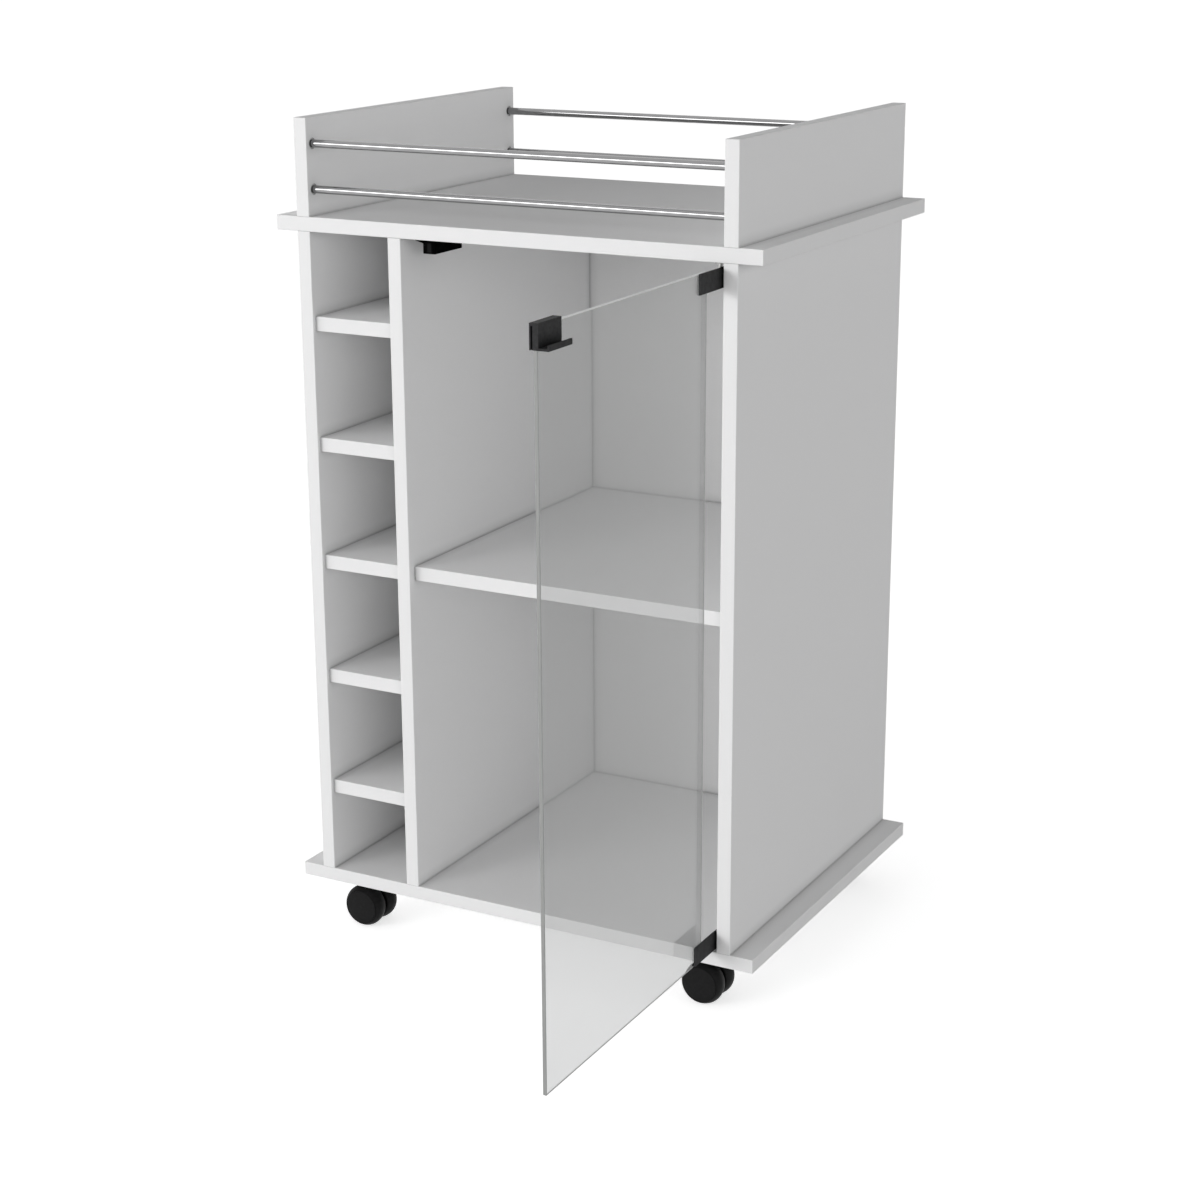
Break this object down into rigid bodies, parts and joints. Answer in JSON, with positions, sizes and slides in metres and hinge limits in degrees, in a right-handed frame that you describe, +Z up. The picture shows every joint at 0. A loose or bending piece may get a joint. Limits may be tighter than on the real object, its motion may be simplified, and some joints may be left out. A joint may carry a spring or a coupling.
{
  "type": "bar cart",
  "caption": "Bar cart on twin-wheel casters: board cabinet with a column of bottle cubbies, a shelf behind a glass door on clip hinges, and a tray on top with side guards and round rails.",
  "frame": {"origin": "on the floor, under the centre of the base panel", "axes": "+Z up, +X to the right seen from the front, front of the cabinet towards -Y; the door is open at a right angle"},
  "size_m": [0.541, 0.7495, 0.875],
  "materials": {
    "white_board": "white melamine, satin",
    "chrome_rail": "polished",
    "clear_glass": "clear, ground edges",
    "black_metal": "satin black",
    "black_plastic": "moulded black",
    "bush_plastic": "grey nylon",
    "beech_dowel": "bare beech",
    "pad_rubber": "soft",
    "ferrite": "sintered",
    "black_steel": "blackened",
    "plated_steel": "zinc plated"
  },
  "bodies": {
    "cabinet": {"back_panel": "white_board", "base_panel": "white_board", "base_screws": "plated_steel", "bottle_shelf_1": "white_board", "bottle_shelf_2": "white_board", "bottle_shelf_3": "white_board", "bottle_shelf_4": "white_board", "bottle_shelf_5": "white_board", "caster_king_pins": "plated_steel", "caster_screws": "plated_steel", "catch_housing": "black_plastic", "catch_magnet": "ferrite", "catch_pole_plates": "black_steel", "catch_screws": "black_steel", "divider_panel": "white_board", "front_left_caster_plate": "plated_steel", "front_lower_rail": "chrome_rail", "front_right_caster_plate": "plated_steel", "front_upper_rail": "chrome_rail", "guard_dowels": "beech_dowel", "left_guard": "white_board", "left_side_panel": "white_board", "lower_hinge_bush": "bush_plastic", "middle_shelf": "white_board", "panel_dowels": "beech_dowel", "rear_left_caster_plate": "plated_steel", "rear_lower_rail": "chrome_rail", "rear_right_caster_plate": "plated_steel", "rear_upper_rail": "chrome_rail", "right_guard": "white_board", "right_side_panel": "white_board", "shelf_dowels": "beech_dowel", "shelf_pins": "plated_steel", "top_panel": "white_board", "upper_hinge_bush": "bush_plastic"},
    "door": {"door_glass": "clear_glass", "upper_hinge_clip": "black_metal", "lower_hinge_clip": "black_metal", "upper_hinge_pin": "plated_steel", "lower_hinge_pin": "plated_steel", "clamp_pads": "pad_rubber", "clamp_screws": "black_steel", "door_handle": "black_metal"},
    "front_left_caster": {"front_left_yoke": "black_plastic", "front_left_axle": "plated_steel"},
    "front_left_fore_wheel": {"front_left_fore_wheel": "black_plastic"},
    "front_left_aft_wheel": {"front_left_aft_wheel": "black_plastic"},
    "front_right_caster": {"front_right_yoke": "black_plastic", "front_right_axle": "plated_steel"},
    "front_right_fore_wheel": {"front_right_fore_wheel": "black_plastic"},
    "front_right_aft_wheel": {"front_right_aft_wheel": "black_plastic"},
    "rear_left_caster": {"rear_left_yoke": "black_plastic", "rear_left_axle": "plated_steel"},
    "rear_left_fore_wheel": {"rear_left_fore_wheel": "black_plastic"},
    "rear_left_aft_wheel": {"rear_left_aft_wheel": "black_plastic"},
    "rear_right_caster": {"rear_right_yoke": "black_plastic", "rear_right_axle": "plated_steel"},
    "rear_right_fore_wheel": {"rear_right_fore_wheel": "black_plastic"},
    "rear_right_aft_wheel": {"rear_right_aft_wheel": "black_plastic"}
  },
  "joints": [
    {"name": "door_hinge", "type": "hinge", "parent": "cabinet", "child": "door", "pos_m": [0.2245, -0.199, 0.415], "axis": [0, 0, 1], "range_deg": [-90, 15]},
    {"name": "front_left_swivel", "type": "hinge", "parent": "cabinet", "child": "front_left_caster", "pos_m": [-0.226, -0.172, 0.048], "axis": [0, 0, 1], "continuous": true},
    {"name": "front_left_fore_spin", "type": "hinge", "parent": "front_left_caster", "child": "front_left_fore_wheel", "pos_m": [-0.206, -0.172, 0.023], "axis": [0, 1, 0], "continuous": true},
    {"name": "front_left_aft_spin", "type": "hinge", "parent": "front_left_caster", "child": "front_left_aft_wheel", "pos_m": [-0.206, -0.172, 0.023], "axis": [0, 1, 0], "continuous": true},
    {"name": "front_right_swivel", "type": "hinge", "parent": "cabinet", "child": "front_right_caster", "pos_m": [0.226, -0.172, 0.048], "axis": [0, 0, 1], "continuous": true},
    {"name": "front_right_fore_spin", "type": "hinge", "parent": "front_right_caster", "child": "front_right_fore_wheel", "pos_m": [0.206, -0.172, 0.023], "axis": [0, 1, 0], "continuous": true},
    {"name": "front_right_aft_spin", "type": "hinge", "parent": "front_right_caster", "child": "front_right_aft_wheel", "pos_m": [0.206, -0.172, 0.023], "axis": [0, 1, 0], "continuous": true},
    {"name": "rear_left_swivel", "type": "hinge", "parent": "cabinet", "child": "rear_left_caster", "pos_m": [-0.226, 0.172, 0.048], "axis": [0, 0, 1], "continuous": true},
    {"name": "rear_left_fore_spin", "type": "hinge", "parent": "rear_left_caster", "child": "rear_left_fore_wheel", "pos_m": [-0.206, 0.172, 0.023], "axis": [0, 1, 0], "continuous": true},
    {"name": "rear_left_aft_spin", "type": "hinge", "parent": "rear_left_caster", "child": "rear_left_aft_wheel", "pos_m": [-0.206, 0.172, 0.023], "axis": [0, 1, 0], "continuous": true},
    {"name": "rear_right_swivel", "type": "hinge", "parent": "cabinet", "child": "rear_right_caster", "pos_m": [0.226, 0.172, 0.048], "axis": [0, 0, 1], "continuous": true},
    {"name": "rear_right_fore_spin", "type": "hinge", "parent": "rear_right_caster", "child": "rear_right_fore_wheel", "pos_m": [0.206, 0.172, 0.023], "axis": [0, 1, 0], "continuous": true},
    {"name": "rear_right_aft_spin", "type": "hinge", "parent": "rear_right_caster", "child": "rear_right_aft_wheel", "pos_m": [0.206, 0.172, 0.023], "axis": [0, 1, 0], "continuous": true}
  ]
}
